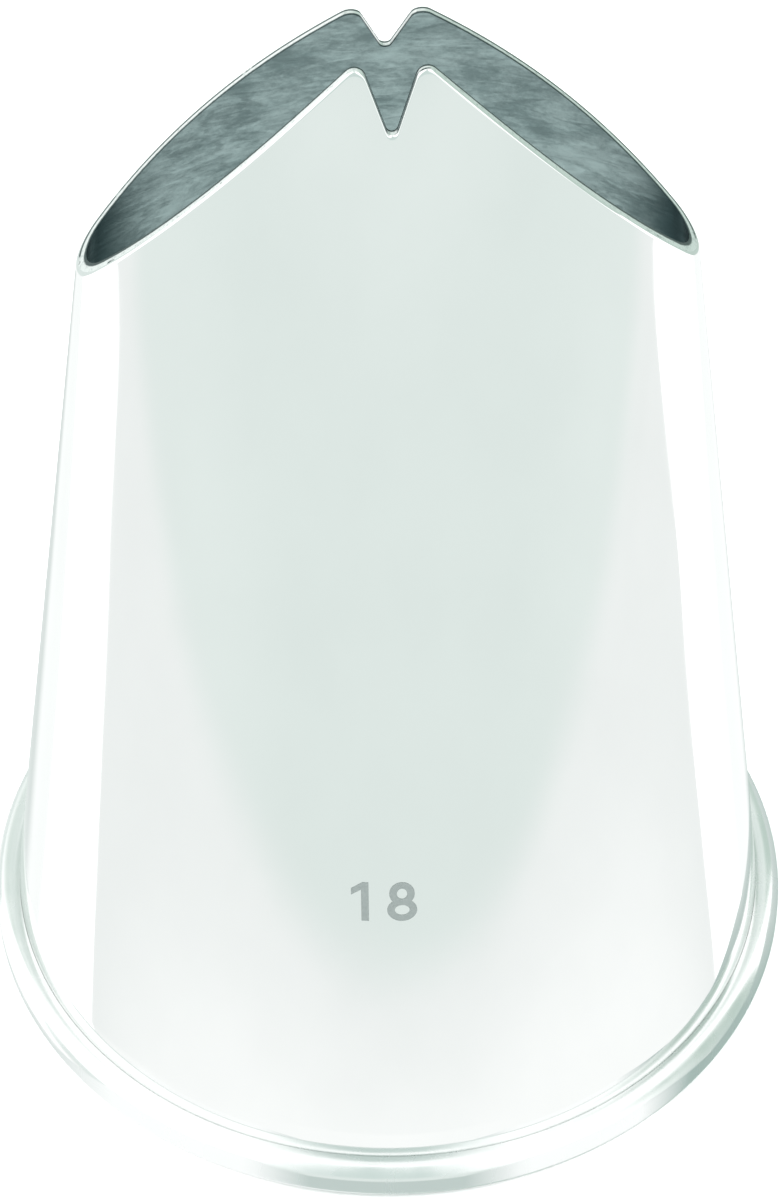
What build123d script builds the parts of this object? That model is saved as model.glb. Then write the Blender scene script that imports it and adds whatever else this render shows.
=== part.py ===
from build123d import *
import math
import os

# A large leaf piping nozzle of thin steel sheet, in millimetres.
# It stands on its rim. The origin is the middle of the base, +Z is up through the tip,
# and +X runs along the wide way of the mouth. The front wall faces -Y.

# The sheet
sheet = 0.3

# The round base. All sizes of the shell are those of its inside.
bore_radius = 12.2

# The rolled rim: a strip bent under the foot, rolled up beside it to a round bead and back in to it
leg_bend_radius = 0.05     # inside of the bend under the foot
bead_bend_radius = 0.25    # inside of the two bends of the bead
rim_leg = 0.15             # straight end of the strip, which carries the foot of the shell
rim_flat = 0.2             # flat width that the nozzle stands on
rim_side = 0.3             # straight height of the outer side, between the bends of the bead
edge_gap = 0.05            # between the strip's upper edge and the foot

# The straight foot of the shell, inside the rim
foot_rise = 0.2            # how far the foot stands above the rim before the taper starts

# The taper, from the round foot to the flat tip
tip_margin = 0.1           # from the level at which the next three sizes hold, up to the peaks
tip_half_width = 8.08
tip_half_depth = 1.11
tip_fold_radius = 0.15     # inside of the fold at each side of the mouth
depth_bow_share = 0.24     # how much the front and back walls bow out between foot and tip
fold_power = 1.6           # how fast the side folds tighten from the round foot to the tip
foot_fold_angle = 21.4     # degrees from the X axis at which the folds start on the round foot
level_count = 9            # outlines that the taper passes through
tip_overrun = 0.6          # height of the taper above that level, all cut away

# The leaf cut, the same in the front and back walls
peak_height = 37.8         # the two peaks, before rounding: this sets the nozzle's height
peak_offset = 0.9          # of each peak from the middle
peak_rounding = 0.35
notch_depth = 2.42         # of the V between the peaks, before rounding
notch_rounding = 0.18
slope_run = 9.6            # of each long slope, sideways from its peak
slope_drop = 9.95          # of each long slope, down from its peak
slope_bow = 0.29           # how far the middle of a long slope bulges out
cut_overrun = 2.0          # of the cutting shape past the sheet on every side

# Sizes that follow from the ones above
leg_bend_outside = leg_bend_radius + sheet
bead_bend_outside = bead_bend_radius + sheet
rim_radius = bore_radius + leg_bend_outside + rim_flat + bead_bend_outside
rim_height = 2 * bead_bend_outside + rim_side
foot_bottom = leg_bend_outside + rim_leg
foot_top = rim_height + foot_rise
foot_radius = bore_radius + sheet
tip_level = peak_height - tip_margin
notch_height = peak_height - notch_depth


def inside_sizes(share):
    """Half width, half depth and fold radius of the inside, at a share of the taper's height.

    The half width falls evenly. The half depth falls slowly at first and faster near the tip.
    The fold radius falls fast at first, as a power of the share that is left.
    """
    half_width = bore_radius + (tip_half_width - bore_radius) * share
    drop = share * (1 + depth_bow_share * (share - 1))
    half_depth = bore_radius + (tip_half_depth - bore_radius) * drop
    left = max(1 - share, 0) ** fold_power
    fold = tip_fold_radius + (bore_radius - tip_fold_radius) * left
    return half_width, half_depth, fold


def outline(share, outward):
    """Closed outline of the taper at a share of its height, moved outward from the inside.

    Two wide arcs, front and back, meet two fold arcs at the sides, all tangent. The centre of a
    wide arc lies behind the middle by 'reach', which puts the arc through the half depth.
    """
    half_width, half_depth, fold = inside_sizes(share)
    fold_centre = half_width - fold
    if share > 0:
        reach = (fold_centre**2 / (half_depth - fold) - half_depth + fold) / 2
        fold_angle = math.degrees(math.atan2(reach, fold_centre))
    else:
        fold_angle = foot_fold_angle
    radius = fold + outward
    side = half_width + outward
    front = half_depth + outward
    meet = Vector(fold_centre, 0) + Vector(radius, 0).rotate(Axis.Z, fold_angle)
    right_back = (meet.X, meet.Y)
    left_back = (-meet.X, meet.Y)
    left_front = (-meet.X, -meet.Y)
    right_front = (meet.X, -meet.Y)
    arcs = [
        ThreePointArc(right_front, (side, 0), right_back),
        ThreePointArc(right_back, (0, front), left_back),
        ThreePointArc(left_back, (-side, 0), left_front),
        ThreePointArc(left_front, (0, -front), right_front),
    ]
    height = foot_top + (tip_level - foot_top) * share
    return Pos(0, 0, height) * make_face(arcs)


def taper(outward):
    """Solid bounded by the taper's inside, moved outward."""
    top_share = 1 + tip_overrun / (tip_level - foot_top)
    shares = [top_share * step / (level_count - 1) for step in range(level_count)]
    return loft([outline(share, outward) for share in shares])


def leaf_cut():
    """Everything above the cut edge of the mouth, seen from the front and run through both walls."""
    low = peak_height - slope_drop
    reach = peak_offset + slope_run
    far = rim_radius + cut_overrun
    high = peak_height + cut_overrun
    # the long slope is an arc: its middle bulges out square to the straight line between its ends
    length = math.hypot(slope_run, slope_drop)
    middle_x = peak_offset + slope_run / 2 + slope_bow * slope_drop / length
    middle_z = peak_height - slope_drop / 2 + slope_bow * slope_run / length
    right_peak = (peak_offset, peak_height)
    left_peak = (-peak_offset, peak_height)
    notch = (0, notch_height)
    with BuildSketch(Plane.XZ) as shape:
        with BuildLine():
            Polyline((-reach, low), (-far, low), (-far, high), (far, high), (far, low), (reach, low))
            ThreePointArc((reach, low), (middle_x, middle_z), right_peak)
            Polyline(right_peak, notch, left_peak)
            ThreePointArc(left_peak, (-middle_x, middle_z), (-reach, low))
        make_face()
        for peak in (left_peak, right_peak):
            fillet(shape.vertices().sort_by_distance(peak)[0], peak_rounding)
        fillet(shape.vertices().sort_by_distance(notch)[0], notch_rounding)
    return extrude(shape.sketch, far, both=True)


def nozzle_shell():
    """The tapering tube: a straight round foot, the taper to the flat tip, and the leaf cut."""
    foot_height = foot_top - foot_bottom
    start = Pos(0, 0, foot_bottom)
    foot = start * Cylinder(foot_radius, foot_height, align=(Align.CENTER, Align.CENTER, Align.MIN))
    bore = start * Cylinder(bore_radius, foot_height, align=(Align.CENTER, Align.CENTER, Align.MIN))
    return (foot - bore) + (taper(sheet) - taper(0) - leaf_cut())


def rolled_rim():
    """The strip bent under the foot, rolled up beside it and back in to the foot's outside."""
    leg_x = bore_radius + sheet / 2
    side_x = rim_radius - sheet / 2
    leg_bend = leg_bend_radius + sheet / 2
    bead_bend = bead_bend_radius + sheet / 2
    path = FilletPolyline(
        (leg_x, foot_bottom),
        (leg_x, sheet / 2),
        (side_x, sheet / 2),
        (side_x, rim_height - sheet / 2),
        (foot_radius + edge_gap, rim_height - sheet / 2),
        radius=[leg_bend, bead_bend, bead_bend],
    )
    strip = trace(path, sheet)
    return revolve(Plane.XZ * strip, Axis.Z)


os.makedirs("parts", exist_ok=True)
for name, make in {"nozzle_shell": nozzle_shell, "rolled_rim": rolled_rim}.items():
    piece = make()
    piece.label = name
    export_step(piece, f"parts/{name}.step")
    print(name, len(piece.solids()), "solid", round(piece.volume, 3), "mm3", piece.bounding_box())
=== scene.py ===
import bpy
import numpy as np
from mathutils import Matrix, Vector


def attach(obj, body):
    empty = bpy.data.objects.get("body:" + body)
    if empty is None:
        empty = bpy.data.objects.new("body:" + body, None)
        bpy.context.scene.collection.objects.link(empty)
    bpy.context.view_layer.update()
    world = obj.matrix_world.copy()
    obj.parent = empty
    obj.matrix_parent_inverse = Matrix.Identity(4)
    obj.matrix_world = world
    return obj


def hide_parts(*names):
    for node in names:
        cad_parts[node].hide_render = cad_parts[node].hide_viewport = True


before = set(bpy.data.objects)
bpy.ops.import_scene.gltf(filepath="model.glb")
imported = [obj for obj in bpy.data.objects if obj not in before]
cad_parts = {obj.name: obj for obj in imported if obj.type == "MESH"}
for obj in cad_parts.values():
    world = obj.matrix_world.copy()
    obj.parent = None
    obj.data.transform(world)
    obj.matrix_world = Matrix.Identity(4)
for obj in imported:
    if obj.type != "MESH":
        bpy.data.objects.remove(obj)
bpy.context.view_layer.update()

# The shell of the nozzle. It is one piece of thin stainless sheet, pressed and drawn from a round
# foot to a flat mouth, and cut at the mouth to a leaf with a V between its two peaks. Its foot
# stands inside the rolled rim. Outside it is polished, inside it keeps the marks of the press.
sheet = 0.0003
bore_radius = 0.0122
foot_bottom = 0.0005
foot_top = 0.0016
tip_level = 0.0377
tip_half_width = 0.00808
tip_half_depth = 0.00111
tip_fold_radius = 0.00015
depth_bow = 0.24
fold_power = 1.6
peak_height = 0.0378
peak_offset = 0.0009
peak_rounding = 0.00035
notch_height = 0.03538
notch_rounding = 0.00018
slope_run = 0.0096
slope_drop = 0.00995
slope_bow = 0.00029
outer_rounding = 0.00007
inner_rounding = 0.00004


def wall_point(around, height, outward):
    """Point of the wall in one quarter, right of the middle, as x and the distance from the X axis.

    At each height the outline is a wide arc, from the middle of the wall, that runs on without a
    corner into a fold arc at the side. 'around' is the share of the inside's length from the middle
    to the side, and 'outward' moves the point square to the outline. The half width falls evenly
    with height, the half depth a little faster near the tip, and the fold radius as a power.
    """
    # At the foot both arcs are one circle, so the share of the taper's height stays above nothing.
    share = np.maximum((height - foot_top) / (tip_level - foot_top), 1e-5)
    half_width = bore_radius + (tip_half_width - bore_radius) * share
    drop = share * (1 + depth_bow * (share - 1))
    half_depth = bore_radius + (tip_half_depth - bore_radius) * drop
    left = np.maximum(1 - share, 0) ** fold_power
    fold = tip_fold_radius + (bore_radius - tip_fold_radius) * left
    fold_centre = half_width - fold
    reach = (fold_centre**2 / (half_depth - fold) - half_depth + fold) / 2
    wide = reach + half_depth
    fold_angle = np.arctan2(reach, fold_centre)
    wide_length = wide * (np.pi / 2 - fold_angle)
    along = around * (wide_length + fold * fold_angle)
    on_wide = along < wide_length
    angle = np.where(on_wide, np.pi / 2 - along / wide, fold_angle - (along - wide_length) / fold)
    radius = np.where(on_wide, wide, fold) + outward
    x = np.where(on_wide, 0, fold_centre) + radius * np.cos(angle)
    y = np.where(on_wide, -reach, 0) + radius * np.sin(angle)
    return x, y


def leaf_cut(x):
    """Height of the cut edge over x, the same to the left and right of the middle.

    From the middle it is a small round at the bottom of the V, the V's straight side, a round over
    the peak that touches both neighbours, and the long slope, an arc bulged square to its chord.
    """
    notch_steps, peak_steps, slope_steps = 12, 24, 200
    half_angle = np.arctan2(peak_offset, peak_height - notch_height)
    up = np.array([np.sin(half_angle), np.cos(half_angle)])
    aside = np.array([np.cos(half_angle), -np.sin(half_angle)])
    turn = np.linspace(-np.pi / 2, -half_angle, notch_steps)
    notch_centre = np.array([0, notch_height + notch_rounding / np.sin(half_angle)])
    notch = notch_centre + notch_rounding * np.stack([np.cos(turn), np.sin(turn)], 1)
    length = np.hypot(slope_run, slope_drop)
    slope_radius = (length**2 / 4 + slope_bow**2) / (2 * slope_bow)
    out = np.array([slope_drop, slope_run]) / length
    middle = np.array([peak_offset + slope_run / 2, peak_height - slope_drop / 2])
    slope_centre = middle + (slope_bow - slope_radius) * out
    start = np.array([0, notch_height]) + peak_rounding * aside - slope_centre
    gap = slope_radius - peak_rounding
    rise = np.sqrt((start @ up) ** 2 - start @ start + gap**2) - start @ up
    from_slope = start + rise * up
    peak_centre = slope_centre + from_slope
    lean = np.arctan2(from_slope[1], from_slope[0])
    turn = np.linspace(np.pi - half_angle, lean, peak_steps)
    peak = peak_centre + peak_rounding * np.stack([np.cos(turn), np.sin(turn)], 1)
    end = np.array([peak_offset + slope_run, peak_height - slope_drop]) - slope_centre
    turn = np.linspace(lean, np.arctan2(end[1], end[0]), slope_steps)[1:]
    slope = slope_centre + slope_radius * np.stack([np.cos(turn), np.sin(turn)], 1)
    line = np.concatenate([notch, peak, slope])
    return np.interp(np.abs(x), line[:, 0], line[:, 1])


def cut_level(around, outward, above_tip=0.0006, halvings=40):
    """Height at which each upright line of the wall meets the cut, found by halving an interval.

    The interval starts as the whole height from the foot's top to 'above_tip' over the tip.
    """
    low = np.full_like(around + outward, foot_top)
    high = np.full_like(low, tip_level + above_tip)
    for _ in range(halvings):
        middle = (low + high) / 2
        x, _y = wall_point(around, middle, outward)
        under = middle < leaf_cut(x)
        low = np.where(under, middle, low)
        high = np.where(under, high, middle)
    return (low + high) / 2


def shell_points(lines=150, rows=52, corner_rows=5):
    """Grid of the shell's points, [row round the sheet's section, upright line, xyz].

    The upright lines of one quarter lie closer together near the middle, where the V is, and near
    the side, where the fold is, and are mirrored into the other three. Each row goes once round the
    section of the sheet: up the outside, over the cut edge with its two rounded corners, the outer
    one softer from polishing, and down the inside. Rows lie close together just below the edge.
    With the grid comes how deep each point lies in the sheet, from 0 outside to 1 inside, and the
    number of rows outside and in each rounded corner.
    """
    foot_lift = [0.0, 0.35, 0.7, 0.9]
    near_edge = [0.995, 0.9985, 1.0]
    step = np.arange(lines) / lines
    there = 0.4 * step + 0.3 * (1 - np.cos(np.pi * step))
    around = np.concatenate([there, 1 - there, there, 1 - there])
    right = np.repeat([1, 1, -1, -1], lines)
    behind = np.repeat([-1, 1, 1, -1], lines)
    lift = np.concatenate([foot_lift, np.ones(rows)])[:, None]
    climb = np.linspace(0, 0.985, rows - len(near_edge))
    share = np.concatenate([np.zeros(len(foot_lift)), climb, near_edge])[:, None]
    top_outside = cut_level(around, sheet) - outer_rounding
    top_inside = cut_level(around, 0 * around) - inner_rounding
    foot = foot_bottom + (foot_top - foot_bottom) * lift
    outside = foot + (top_outside - foot_top) * share
    inside = foot + (top_inside - foot_top) * share
    turn = np.linspace(0, np.pi / 2, corner_rows + 1)[1:, None]
    middle = (sheet - outer_rounding + inner_rounding) / 2
    across = np.concatenate([sheet - outer_rounding * (1 - np.cos(turn)), [[middle]],
                             inner_rounding * (1 - np.cos(turn[::-1]))])
    sunk = np.concatenate([outer_rounding * (1 - np.sin(turn)), [[0.0]],
                           inner_rounding * (1 - np.sin(turn[::-1]))])
    edge = cut_level(around + 0 * across, across + 0 * around) - sunk
    height = np.concatenate([outside, edge, inside[::-1]])
    outward = np.concatenate([0 * outside + sheet, across + 0 * edge, 0 * inside])
    x, y = wall_point(around, height, outward)
    through = 1 - (outward + 0 * height) / sheet
    return np.stack([right * x, behind * y, height], 2), through, len(outside), corner_rows


def closed_grid(name, points):
    """Piece over a grid of points that closes on itself both ways, with faces that point outwards.

    Each face joins a point to the next one on its row and to the same two on the next row.
    """
    rows, lines = points.shape[:2]
    number = np.arange(rows * lines).reshape(rows, lines)
    beside = np.roll(number, -1, 1)
    faces = np.stack([number, beside, np.roll(beside, -1, 0), np.roll(number, -1, 0)], 2)
    mesh = bpy.data.meshes.new(name)
    mesh.from_pydata(points.reshape(-1, 3), [], faces.reshape(-1, 4).tolist())
    mesh.shade_smooth()
    piece = bpy.data.objects.new(name, mesh)
    bpy.context.scene.collection.objects.link(piece)
    return piece


points, through, outside_rows, corner_rows = shell_points()
shell = closed_grid("formed_shell", points)
shell.data.attributes.new("through", "FLOAT", "POINT").data.foreach_set("value", through.ravel())


def steel(name, colour, roughness):
    """Bare steel of an average colour and roughness, and its nodes for what varies over it."""
    material = bpy.data.materials.new(name)
    material.use_nodes = True
    tree = material.node_tree
    shader = tree.nodes["Principled BSDF"]
    shader.inputs["Base Color"].default_value = (*colour, 1)
    shader.inputs["Metallic"].default_value = 1
    shader.inputs["Roughness"].default_value = roughness
    return material, tree, shader


def reckon(tree, operation, *values):
    """One step of arithmetic, on sockets or numbers."""
    step = tree.nodes.new("ShaderNodeMath")
    step.operation = operation
    for socket, value in zip(step.inputs, values):
        if isinstance(value, (int, float)):
            socket.default_value = value
        else:
            tree.links.new(value, socket)
    return step.outputs[0]


def eased(tree, value, low, high, first=0.0, last=1.0):
    """A value carried from 'first' to 'last' as another goes from low to high.

    It is a smooth step, slow at both ends, and stays at its ends outside them.
    """
    step = tree.nodes.new("ShaderNodeMapRange")
    step.interpolation_type = "SMOOTHSTEP"
    tree.links.new(value, step.inputs["Value"])
    for name, bound in (("From Min", low), ("From Max", high), ("To Min", first), ("To Max", last)):
        if isinstance(bound, (int, float)):
            step.inputs[name].default_value = bound
        else:
            tree.links.new(bound, step.inputs[name])
    return step.outputs["Result"]


def blended(tree, share, first, last):
    """Colour between two others, each a socket or three numbers."""
    step = tree.nodes.new("ShaderNodeMix")
    step.data_type = "RGBA"
    tree.links.new(share, step.inputs["Factor"])
    for socket, colour in ((step.inputs[6], first), (step.inputs[7], last)):
        if isinstance(colour, tuple):
            socket.default_value = (*colour, 1)
        else:
            tree.links.new(colour, socket)
    return step.outputs[2]


def cloud(tree, scale, size=(1, 1, 1), detail=3.0, rough=0.5, seed=0.0, twist=0.0):
    """Soft random pattern over the piece, about 1 / scale metres from light to dark."""
    place = tree.nodes.new("ShaderNodeTexCoord").outputs["Object"]
    mapping = tree.nodes.new("ShaderNodeMapping")
    mapping.inputs["Location"].default_value = (seed, seed / 2, -seed)
    mapping.inputs["Scale"].default_value = tuple(scale * s for s in size)
    tree.links.new(place, mapping.inputs["Vector"])
    noise = tree.nodes.new("ShaderNodeTexNoise")
    noise.inputs["Scale"].default_value = 1
    noise.inputs["Detail"].default_value = detail
    noise.inputs["Roughness"].default_value = rough
    noise.inputs["Distortion"].default_value = twist
    tree.links.new(mapping.outputs["Vector"], noise.inputs["Vector"])
    return noise.outputs["Fac"]


def axes(tree, kind):
    """The x, y and z of each point of a piece, or of each direction in the tent, as sockets."""
    split = tree.nodes.new("ShaderNodeSeparateXYZ")
    tree.links.new(tree.nodes.new("ShaderNodeTexCoord").outputs[kind], split.inputs[0])
    return split.outputs


def raised(tree, shader, height, distance):
    """Small ups and downs of the surface, 'distance' metres high."""
    bump = tree.nodes.new("ShaderNodeBump")
    bump.inputs["Strength"].default_value = 1
    bump.inputs["Distance"].default_value = distance
    tree.links.new(height, bump.inputs["Height"])
    tree.links.new(bump.outputs["Normal"], shader.inputs["Normal"])


# Outside: polished, with a little waviness from the press and faint lines along the draw.
wave_height = 0.000004
polished, tree, shader = steel("polished_outside", (0.885, 0.9, 0.893), 0.05)
waves = cloud(tree, 260, (1, 1, 0.35), detail=2)
lines = cloud(tree, 1500, (1, 1, 0.04), detail=4, seed=3.1)
rubbed = cloud(tree, 420, (1, 1, 0.6), detail=5, seed=7.7)
bright_steel, dim_steel = (0.892, 0.907, 0.9), (0.874, 0.89, 0.883)
tone = blended(tree, eased(tree, rubbed, 0.25, 0.8), bright_steel, dim_steel)
tree.links.new(tone, shader.inputs["Base Color"])
tree.links.new(eased(tree, rubbed, 0.3, 0.75, 0.035, 0.085), shader.inputs["Roughness"])
raised(tree, shader, reckon(tree, "MULTIPLY_ADD", lines, 0.06, waves), wave_height)

# Inside: as the press left it, mottled, with short light and dark strokes that run sideways.
stroke_height = 0.000008
corner_shade_start, corner_shade_end = 0.0071, 0.0087
pressed, tree, shader = steel("pressed_inside", (0.6, 0.64, 0.635), 0.3)
blotches = cloud(tree, 420, (1, 1, 1.2), detail=6, rough=0.62, twist=0.4)
strokes = cloud(tree, 1300, (0.7, 0.7, 2), detail=3, rough=0.6, seed=5.3, twist=1.5)
specks = cloud(tree, 5200, (1, 1, 1.1), detail=4, rough=0.7, seed=11.9)
tone = reckon(tree, "MULTIPLY_ADD", strokes, 0.3, blotches)
tone = reckon(tree, "MULTIPLY_ADD", specks, 0.3, tone)
mottled = blended(tree, eased(tree, tone, 0.6, 1.0), (0.37, 0.405, 0.415), (0.8, 0.81, 0.82))
# Painted shade: towards both sides, into the corners of the mouth, the colour darkens to
# near-black.
from_middle = reckon(tree, "ABSOLUTE", axes(tree, "Object")["X"])
corner_shade = eased(tree, from_middle, corner_shade_start, corner_shade_end)
tree.links.new(blended(tree, corner_shade, mottled, (0.09, 0.135, 0.145)), shader.inputs["Base Color"])
tree.links.new(eased(tree, strokes, 0.35, 0.7, 0.4, 0.28), shader.inputs["Roughness"])
raised(tree, shader, reckon(tree, "MULTIPLY_ADD", specks, 0.2, strokes), stroke_height)

# The cut edge: bright where it sheared, with a dark line along its inner corner, and along its
# outer corner only here and there in front but nearly all along at the back.
burr_height = 0.000015
middle_band = 0.0004
sheared, tree, shader = steel("sheared_edge", (0.9, 0.92, 0.91), 0.28)
depth = tree.nodes.new("ShaderNodeAttribute")
depth.attribute_name = "through"
depth = depth.outputs["Fac"]
at_back = eased(tree, axes(tree, "Object")["Y"], -middle_band, middle_band)
ragged = cloud(tree, 7000, detail=4, rough=0.65)
runs = cloud(tree, 1100, detail=2, seed=4.2)
cover = reckon(tree, "MULTIPLY_ADD", ragged, 0.5, runs)
cover = reckon(tree, "MULTIPLY_ADD", at_back, 0.36, cover)
outer = reckon(tree, "MULTIPLY", eased(tree, depth, 0.36, 0.5, 1, 0), eased(tree, cover, 0.88, 1.0))
inner = reckon(tree, "MULTIPLY_ADD", ragged, 0.2, depth)
inner = reckon(tree, "MULTIPLY_ADD", at_back, -0.13, inner)
inner = eased(tree, inner, 0.72, 0.84)
edge_dark_line = reckon(tree, "MAXIMUM", outer, inner)
face = blended(tree, eased(tree, ragged, 0.36, 0.48), (0.7, 0.74, 0.73), (0.95, 0.97, 0.96))
tree.links.new(blended(tree, edge_dark_line, face, (0.07, 0.1, 0.1)), shader.inputs["Base Color"])
raised(tree, shader, ragged, burr_height)

# The cut edge runs from the end of the outer rounded corner to the end of the inner one. The last
# row, under the foot, is polished like the outside.
outside_slot, inside_slot, cut_slot = 0, 1, 2
for material in (polished, pressed, sheared):
    shell.data.materials.append(material)
cut_start = outside_rows + corner_rows - 1
inside_start = outside_rows + 2 * corner_rows
row_material = np.full(len(points), outside_slot, np.int32)
row_material[cut_start:inside_start] = cut_slot
row_material[inside_start:-1] = inside_slot
shell.data.polygons.foreach_set("material_index", np.repeat(row_material, points.shape[1]))
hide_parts("nozzle_shell")
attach(shell, "root")

# The rolled rim. It is a strip of the same sheet, bent under the foot, rolled up beside it to a
# round bead and tucked in against the foot, so that the nozzle stands and is gripped on a smooth
# edge. Its inner leg carries the foot of the shell.
leg_bend_radius = 0.00005
bead_bend_radius = 0.00025
rim_flat = 0.0002
rim_side = 0.0003
roll_mark_height = 0.00001
rim_lines = 480
leg_bend_outside = leg_bend_radius + sheet
bead_bend_outside = bead_bend_radius + sheet
rim_radius = bore_radius + leg_bend_outside + rim_flat + bead_bend_outside
rim_height = 2 * bead_bend_outside + rim_side


def strip_outline(free_edge=0.00003, clear_of_foot=0.000004):
    """Closed outline of the strip's section, as radius and height, once round its skin.

    Under the foot the strip makes a quarter bend, then a half round with a short straight side. The
    upper bend goes on past level until its skin comes to the foot. Each bend is an arc of its own
    centre, at the outside radius on the outer skin and at the inside radius on the inner one, and
    both free edges are rounded.
    """
    def bend(x, z, radius, first, last, steps=13):
        """Arc about a centre, from one angle to another in degrees."""
        turn = np.radians(np.linspace(first, last, steps))
        return np.stack([x + radius * np.cos(turn), z + radius * np.sin(turn)], 1)

    near = bore_radius + leg_bend_outside
    far = rim_radius - bead_bend_outside
    high = rim_height - bead_bend_outside
    lip = bore_radius + sheet + clear_of_foot
    lean = np.degrees(np.arccos((lip - far) / bead_bend_outside))
    tuck = high + bead_bend_outside * np.sin(np.radians(lean))
    under = tuck - sheet
    return np.concatenate([
        bend(near, leg_bend_outside, leg_bend_outside, 180, 270),
        bend(far, bead_bend_outside, bead_bend_outside, -90, 0, 25),
        bend(far, high, bead_bend_outside, 0, lean, 37),
        bend(lip + free_edge, under + free_edge, free_edge, 180, 270, 5),
        bend(far, high, bead_bend_radius, 90, 0),
        bend(far, bead_bend_outside, bead_bend_radius, 0, -90),
        bend(near, leg_bend_outside, leg_bend_radius, 270, 180),
        bend(bore_radius + sheet - free_edge, foot_bottom - free_edge, free_edge, 0, 90, 5),
        bend(bore_radius + free_edge, foot_bottom - free_edge, free_edge, 90, 180, 5),
    ])


turn = np.linspace(0, 2 * np.pi, rim_lines, endpoint=False)[None, :]
section = strip_outline()
radius, height = section[:, 0, None], section[:, 1, None]
bead = np.stack([radius * np.sin(turn), -radius * np.cos(turn), height + 0 * turn], 2)
rim = closed_grid("rolled_bead", bead)

# The bead is duller than the body, with small flats and lines across it from the rolling tool.
rolled, tree, shader = steel("rolled_steel", (0.88, 0.897, 0.89), 0.25)
flats = cloud(tree, 700, (1, 1, 0.15), detail=4, seed=2.4)
tree.links.new(eased(tree, flats, 0.3, 0.7, 0.19, 0.31), shader.inputs["Roughness"])
raised(tree, shader, flats, roll_mark_height)
rim.data.materials.append(rolled)
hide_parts("rolled_rim")
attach(rim, "root")

# The number of the size, 18, etched on the front wall in plain upright figures. The etch is dull
# and grey, and so thin that it can hardly be felt.
figure_height = 0.00146
stroke = 0.00024
number_bottom = 0.01047
number_middle = -0.0007
number_lift = 0.000004
eight_middle = 0.00062
low_half_width = 0.00047
low_half_height = 0.00042
high_half_width = 0.0004
high_half_height = (figure_height - 2 * low_half_height + stroke) / 2
bar_right = -0.00042
bar_left = bar_right - stroke
flag_left = bar_right - 2.3 * stroke


def bent_stroke(middle_x, middle_y, half_width, half_height, lift, steps=48):
    """Closed stroke of even width round an oval, as a grid of points and its faces.

    The outer line is the oval with the given half sizes, and the inner one lies a stroke inside it.
    """
    turn = np.linspace(0, 2 * np.pi, steps, endpoint=False)
    lines = []
    for inward in (0, stroke):
        x = middle_x + (half_width - inward) * np.cos(turn)
        y = middle_y + (half_height - inward) * np.sin(turn)
        lines.append(np.stack([x, y, np.full(steps, lift)], 1))
    rows = np.arange(steps)
    after = (rows + 1) % steps
    return np.concatenate(lines), np.stack([rows, after, after + steps, rows + steps], 1)


# The 8 is a small oval over a larger one, and lifted a little more where the two cross. The 1 is an
# upright bar with a flag at its top.
low_oval, low_faces = bent_stroke(eight_middle, low_half_height, low_half_width, low_half_height,
                                  number_lift)
high_oval, high_faces = bent_stroke(eight_middle, figure_height - high_half_height,
                                    high_half_width, high_half_height, 1.5 * number_lift)
one = np.array([(bar_left, 0), (bar_right, 0), (bar_right, figure_height),
                (bar_right - 0.8 * stroke, figure_height), (flag_left, 0.83 * figure_height),
                (flag_left, 0.66 * figure_height), (bar_left, 0.8 * figure_height)])
one = np.column_stack([one, np.full(len(one), number_lift)])
spots = np.concatenate([low_oval, high_oval, one])
bar_faces, flag_faces = np.array([0, 1, 2, 3, 6]), np.array([3, 4, 5, 6])
first = len(low_oval) + len(high_oval)
faces = low_faces.tolist() + (high_faces + len(low_oval)).tolist()
faces += [(bar_faces + first).tolist(), (flag_faces + first).tolist()]


def on_front_wall(across_wall, up_wall, lift, step=0.001, near_middle=0.02):
    """Points of the front wall's outside, by the distance from its middle and along its slope.

    The slope comes from two points of the wall a step apart in height, and the level rises with
    the distance up it. At each level the point's share of the quarter outline is its distance from
    the middle, over that of a point whose share is known, 'near_middle'.
    """
    start = np.full_like(up_wall, number_bottom)
    middle = np.zeros_like(up_wall)
    _, low = wall_point(middle, start, sheet)
    _, high = wall_point(middle, start + step, sheet)
    level = start + up_wall * step / np.hypot(step, low - high)
    share = np.full_like(level, near_middle)
    x_there, _ = wall_point(share, level, sheet)
    around = np.abs(across_wall) / x_there * share
    x, y = wall_point(around, level, sheet + lift)
    return np.stack([np.sign(across_wall) * x, -y, level], 1)


flat = bpy.data.meshes.new("etched_number")
spots[:, 0] += number_middle
flat.from_pydata(on_front_wall(*spots.T).tolist(), [], faces)
number = bpy.data.objects.new("etched_number", flat)
bpy.context.scene.collection.objects.link(number)
etched, tree, shader = steel("etched_steel", (0.18, 0.205, 0.2), 0.8)
shader.inputs["Metallic"].default_value = 0
dark_etch, light_etch = (0.16, 0.185, 0.18), (0.2, 0.225, 0.22)
grain = cloud(tree, 9000, detail=3)
tree.links.new(blended(tree, grain, dark_etch, light_etch), shader.inputs["Base Color"])
flat.materials.append(etched)
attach(number, "root")

# The table that it stands on, white and matt.
table_reach = 2
table = bpy.data.meshes.new("table")
corners = [(x * table_reach, y * table_reach, 0) for x, y in ((-1, -1), (1, -1), (1, 1), (-1, 1))]
table.from_pydata(corners, [], [(0, 1, 2, 3)])
table = bpy.data.objects.new("table", table)
bpy.context.scene.collection.objects.link(table)
white = bpy.data.materials.new("white_table")
white.use_nodes = True
shader = white.node_tree.nodes["Principled BSDF"]
shader.inputs["Base Color"].default_value = (0.9, 0.9, 0.9, 1)
shader.inputs["Roughness"].default_value = 0.6
table.data.materials.append(white)
table.visible_glossy = False


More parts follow.
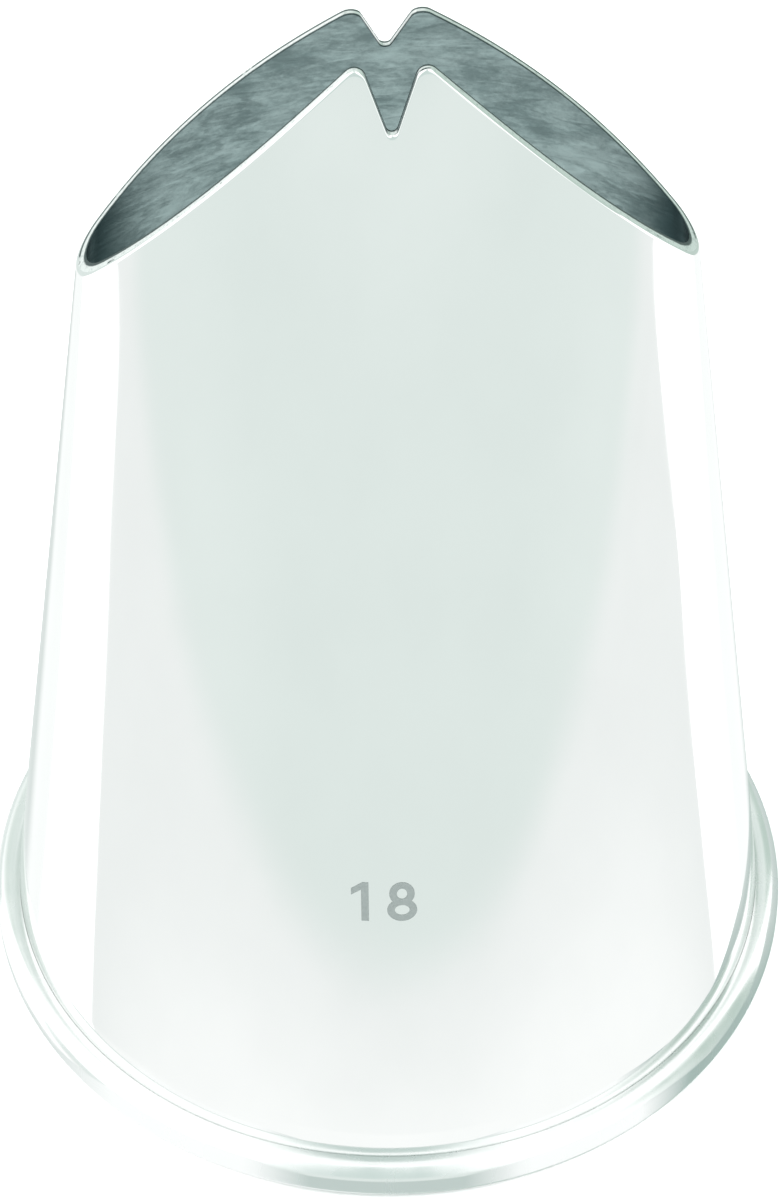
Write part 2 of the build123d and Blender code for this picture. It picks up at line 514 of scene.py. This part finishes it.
def lamp(name, place, size=0.6, power=5.6):
    """Square soft lamp that points at the foot of the nozzle and isn't seen in the steel."""
    light = bpy.data.lights.new(name, "AREA")
    light.size = size
    light.energy = power
    light = bpy.data.objects.new(name, light)
    light.location = place
    light.rotation_euler = (-Vector(place)).to_track_quat("-Z", "Y").to_euler()
    light.visible_glossy = False
    bpy.context.scene.collection.objects.link(light)


lamp("left_lamp", (-0.5, -0.2, 0.6))
lamp("right_lamp", (0.5, -0.2, 0.6))

# Papers that only the steel shows: two white cards close to the nozzle, left and right, which it
# mirrors in its sides, a low ring round the bead, grey in part with painted shade of the floor,
# and a shaded disc inside the foot, which shows inside the mouth. The light of a paper is divided
# by the share of it that the steel sends back.
outside_share = 0.89
inside_share = 0.79
card_light = 1.4
card_distance = 0.02
card_back = 0.004
card_foot = -0.009
card_top = 0.033
card_rows = 60
ring_radius = 0.01343
ring_foot = -0.0012
disc_radius = 0.0121
disc_height = -0.0001
disc_corners = 64


def shown(red, green, blue):
    """Linear colour that a picture shows as this display colour.

    It is a power of 2.4 with a short straight start, the usual curve of a display.
    """
    seen = np.array([red, green, blue]) / 255
    linear = np.where(seen > 0.04045, ((seen + 0.055) / 1.055) ** 2.4, seen / 12.92)
    return tuple(float(v) for v in linear)


def glow(name, colour, strength):
    """Paper that looks the same from every side."""
    material = bpy.data.materials.new(name)
    material.use_nodes = True
    shader = material.node_tree.nodes["Principled BSDF"]
    shader.inputs["Base Color"].default_value = (0, 0, 0, 1)
    shader.inputs["Specular IOR Level"].default_value = 0
    shader.inputs["Emission Color"].default_value = (*colour, 1)
    shader.inputs["Emission Strength"].default_value = strength
    return material


def strip_between(first, second):
    """Points and faces of the strip between two edges, each a row of as many points."""
    count = len(first)
    rows = np.arange(count - 1)
    faces = np.stack([rows, rows + 1, rows + 1 + count, rows + count], 1)
    return np.concatenate([first, second]), faces.tolist()


def seen_in_steel(name, points, faces, material):
    """Staged sheet that nothing but a mirror shows."""
    mesh = bpy.data.meshes.new(name)
    mesh.from_pydata(points.tolist(), [], faces)
    mesh.materials.append(material)
    piece = bpy.data.objects.new(name, mesh)
    bpy.context.scene.collection.objects.link(piece)
    piece.visible_camera = False
    piece.visible_diffuse = False
    piece.visible_shadow = False
    return piece


def card(name, way, front, lean_start, lean, foot_start, foot):
    """Upright card. Its front edge is straight between two levels and runs forward beyond both.

    Above the first level the edge leaves the straight line by 'lean' times the distance to the
    power 1.7, and below the second by 'foot' times the distance to the power 1.8, both in
    millimetres. 'way' is -1 to the left and 1 to the right.
    """
    height = np.linspace(card_foot, card_top, card_rows)
    above = 1000 * np.maximum(height - lean_start, 0)
    beneath = 1000 * np.maximum(foot_start - height, 0)
    edge = front - 0.001 * (lean * above**1.7 + foot * beneath**1.8)
    upright = np.full_like(height, way * card_distance)
    near = np.stack([upright, edge, height], 1)
    far = np.stack([upright, np.full_like(height, card_back), height], 1)
    seen_in_steel(name, *strip_between(near, far), white_paper)


white_paper = glow("white_card", (1, 1, 1), card_light)
card("left_card", -1, front=-0.0042, lean_start=0.0135, lean=0.056, foot_start=0.01, foot=0.0135)
card("right_card", 1, front=-0.0031, lean_start=0.011, lean=0.052, foot_start=0.002, foot=0.008)

# Painted shade: the ring is grey-green in front and on the right, greyish on the left and white
# between them, its grey standing for the floor's shade round the foot, which the bead mirrors. On
# the right it is higher, and paler towards its top. Its height and its share of painted shade run
# evenly from angle to angle, in degrees from the front to the right.
white_ring, ring_shade_colour = shown(253, 254, 254), shown(165, 183, 178)
angle = np.linspace(-150, 150, 151)
shade_at = [-100, -60, -46, -23, -14, 8, 17, 36, 46, 60, 78]
low_shade_share = np.interp(angle, shade_at, [0.5, 0.43, 0, 0, 0.75, 0.75, 0, 0, 1, 1.1, 1.6])
high_shade_share = np.interp(angle, shade_at, [0.5, 0.43, 0, 0, 0.75, 0.75, 0, 0, 1, 1.0, 0.6])
top_at = [-60, -46, -23, -14, 8, 17, 38, 50, 62, 75, 105, 150]
top = 0.001 * np.interp(angle, top_at,
                        [0.5, 1.2, 1.2, 0.95, 0.95, 1.2, 1.2, 0.9, 1.0, 1.4, 1.4, 0.5])
turn = np.radians(angle)
x, y = ring_radius * np.sin(turn), -ring_radius * np.cos(turn)
low_edge = np.stack([x, y, np.full_like(turn, ring_foot)], 1)
high_edge = np.stack([x, y, top], 1)
shaded_paper = glow("shaded_paper", (1, 1, 1), 1 / outside_share)
tree = shaded_paper.node_tree
share = tree.nodes.new("ShaderNodeAttribute")
share.attribute_name = "grey"
tree.links.new(blended(tree, share.outputs["Fac"], white_ring, ring_shade_colour),
               tree.nodes["Principled BSDF"].inputs["Emission Color"])
ring = seen_in_steel("ring", *strip_between(low_edge, high_edge), shaded_paper)
grey = np.concatenate([low_shade_share, high_shade_share])
ring.data.attributes.new("grey", "FLOAT", "POINT").data.foreach_set("value", grey)

turn = np.linspace(0, 2 * np.pi, disc_corners, endpoint=False)
disc = np.stack([disc_radius * np.cos(turn), disc_radius * np.sin(turn),
                 np.full_like(turn, disc_height)], 1)
shade = glow("shade_inside", (0.38, 0.5, 0.485), 1 / inside_share)
seen_in_steel("shade_inside", disc, [list(range(disc_corners))], shade)

# The tent round the table, which the polished steel mirrors. Its colour goes by direction: 'up' is
# the angle above the horizon and 'aside' the angle from the front, to the right, in degrees. The
# tent's own middle, from which 'off_front' counts both ways, lies a little to the right.
tent_middle = 3.1
world = bpy.data.worlds.new("tent")
world.use_nodes = True
bpy.context.scene.world = world
bpy.context.scene.view_settings.view_transform = "Standard"
tree = world.node_tree
to_right, to_back, to_top = axes(tree, "Generated")
to_front = reckon(tree, "MULTIPLY", to_back, -1.0)
up = reckon(tree, "DEGREES", reckon(tree, "ARCSINE", to_top))
aside = reckon(tree, "DEGREES", reckon(tree, "ARCTAN2", to_right, to_front))
off_front = reckon(tree, "ABSOLUTE", reckon(tree, "SUBTRACT", aside, tent_middle))

# In front the tent is grey-green, a little lighter at the horizon and towards the sides.
light_wall = reckon(tree, "MAXIMUM", eased(tree, up, -8.0, 0.0), eased(tree, off_front, 28.0, 55.0))
wall = blended(tree, light_wall, shown(221.5, 229.8, 226.8), shown(225.5, 233, 230.3))
# 21 degrees below the horizon the floor of the tent begins, at first light grey. It brightens to
# white, later and later towards the sides.
floor_line = reckon(tree, "SUBTRACT", eased(tree, off_front, 40.0, 75.0, -21.3, -22.8), up)
floor_share = eased(tree, floor_line, -1.4, 1.4)
from_middle = reckon(tree, "MAXIMUM", reckon(tree, "SUBTRACT", off_front, 25.0), 0.0)
from_middle = reckon(tree, "MULTIPLY", from_middle, from_middle)
bright_line = reckon(tree, "MULTIPLY_ADD", from_middle, -0.0028, -24.6)
bright_share = eased(tree, reckon(tree, "SUBTRACT", bright_line, up), -3.2, 3.6)
floor = blended(tree, bright_share, shown(237, 239.3, 238.6), shown(250.5, 251.3, 250.8))
front = blended(tree, floor_share, wall, floor)
# Low at both sides stand white screens, their front edges leaning back towards the floor.
lean = reckon(tree, "MAXIMUM", reckon(tree, "ADD", up, 37.5), 0.0)
lean = reckon(tree, "MULTIPLY", lean, lean)
screen_edge = reckon(tree, "MULTIPLY_ADD", lean, -0.21, 104.0)
screen = eased(tree, reckon(tree, "SUBTRACT", off_front, screen_edge), -0.8, 0.8)
screen = reckon(tree, "MULTIPLY", screen, eased(tree, up, -27.0, -28.5))
sides = blended(tree, screen, front, shown(250, 252, 251.5))
# Behind, it is white, and grey at its far end.
behind = eased(tree, off_front, 122.0, 140.0)
far_end = eased(tree, off_front, 148.0, 162.0)
back = blended(tree, far_end, shown(248.5, 250.5, 250), shown(212, 219, 217))
around = blended(tree, behind, sides, back)
# Only the bead mirrors the sides close to the horizon, where they are shaded, most on the right.
high_side = eased(tree, up, -25.5, -22.5)
right_side = reckon(tree, "MULTIPLY", eased(tree, aside, 66.0, 88.0), high_side)
around = blended(tree, right_side, around, shown(190, 206, 199))
left_side = reckon(tree, "MULTIPLY", eased(tree, aside, -75.0, -95.0), high_side)
around = blended(tree, left_side, around, shown(221, 230, 227))
# Straight behind, both sides run into one colour at every height.
straight_behind = eased(tree, reckon(tree, "ABSOLUTE", aside), 145.0, 176.0)
meeting_grey = shown(216, 226, 222)
behind_high = reckon(tree, "MULTIPLY", straight_behind, high_side)
around = blended(tree, behind_high, around, meeting_grey)
# Overhead it is brighter than white on both sides of a grey gap that runs from the front over the
# top. At the back left it is greyish, and on the right grey-green from the front half to the back.
burnt_out = (1.25, 1.25, 1.25)
gap = reckon(tree, "ABSOLUTE", reckon(tree, "ADD", aside, 5.0))
gap_width = eased(tree, up, 50.0, 88.0, 20.0, 32.0)
gap = eased(tree, reckon(tree, "SUBTRACT", gap, gap_width), -9.0, 12.0)
roof = blended(tree, gap, shown(203, 217, 213), burnt_out)
left_grey = reckon(tree, "MULTIPLY", eased(tree, up, 58.0, 48.0), eased(tree, up, -12.0, 32.0))
left_grey = reckon(tree, "MULTIPLY", eased(tree, aside, -115.0, -140.0), left_grey)
roof = blended(tree, left_grey, roof, shown(213, 224, 219))
right_grey = reckon(tree, "MULTIPLY", eased(tree, aside, 52.0, 85.0), eased(tree, up, 62.0, 38.0))
roof = blended(tree, right_grey, roof, shown(186, 203, 195))
roof = blended(tree, straight_behind, roof, meeting_grey)
upper = blended(tree, eased(tree, up, 0.0, 5.0), around, roof)
# More than 46 degrees down the floor is white too, but shaded in front and on the right.
low = blended(tree, gap, shown(205, 220, 215), shown(254, 255, 255))
low = blended(tree, eased(tree, aside, 50.0, 80.0), low, shown(185, 200, 194))
low = blended(tree, straight_behind, low, meeting_grey)
far_down = eased(tree, up, -46.0, -49.0)
background = tree.nodes["Background"]
background.inputs["Strength"].default_value = 1 / outside_share
tree.links.new(blended(tree, far_down, upper, low), background.inputs["Color"])

# The camera, from a fit to the photograph. The focal length is in pixels of its 1200 rows.
picture_rows = 1200
focal_length = 4901.7
sensor = 36
distance = 0.1575
elevation = np.radians(46.283)
turned = np.radians(3.093)
rolled = np.radians(0.108)
aim_right = 0.00013
aim_height = 0.014248
aim = Vector((aim_right * np.cos(turned), -aim_right * np.sin(turned), aim_height))
back = Vector((-np.sin(turned) * np.cos(elevation), -np.cos(turned) * np.cos(elevation),
               np.sin(elevation)))
camera = bpy.data.cameras.new("camera")
camera.sensor_width = sensor
camera.lens = focal_length / picture_rows * sensor
camera.clip_start = 0.01
camera = bpy.data.objects.new("camera", camera)
bpy.context.scene.collection.objects.link(camera)
right = Vector((np.cos(turned), -np.sin(turned), 0))
upward = back.cross(right)
place = Matrix((right, upward, back)).transposed().to_4x4()
place = place @ Matrix.Rotation(rolled, 4, "Z")
place.translation = aim + distance * back
camera.matrix_world = place
bpy.context.scene.camera = camera
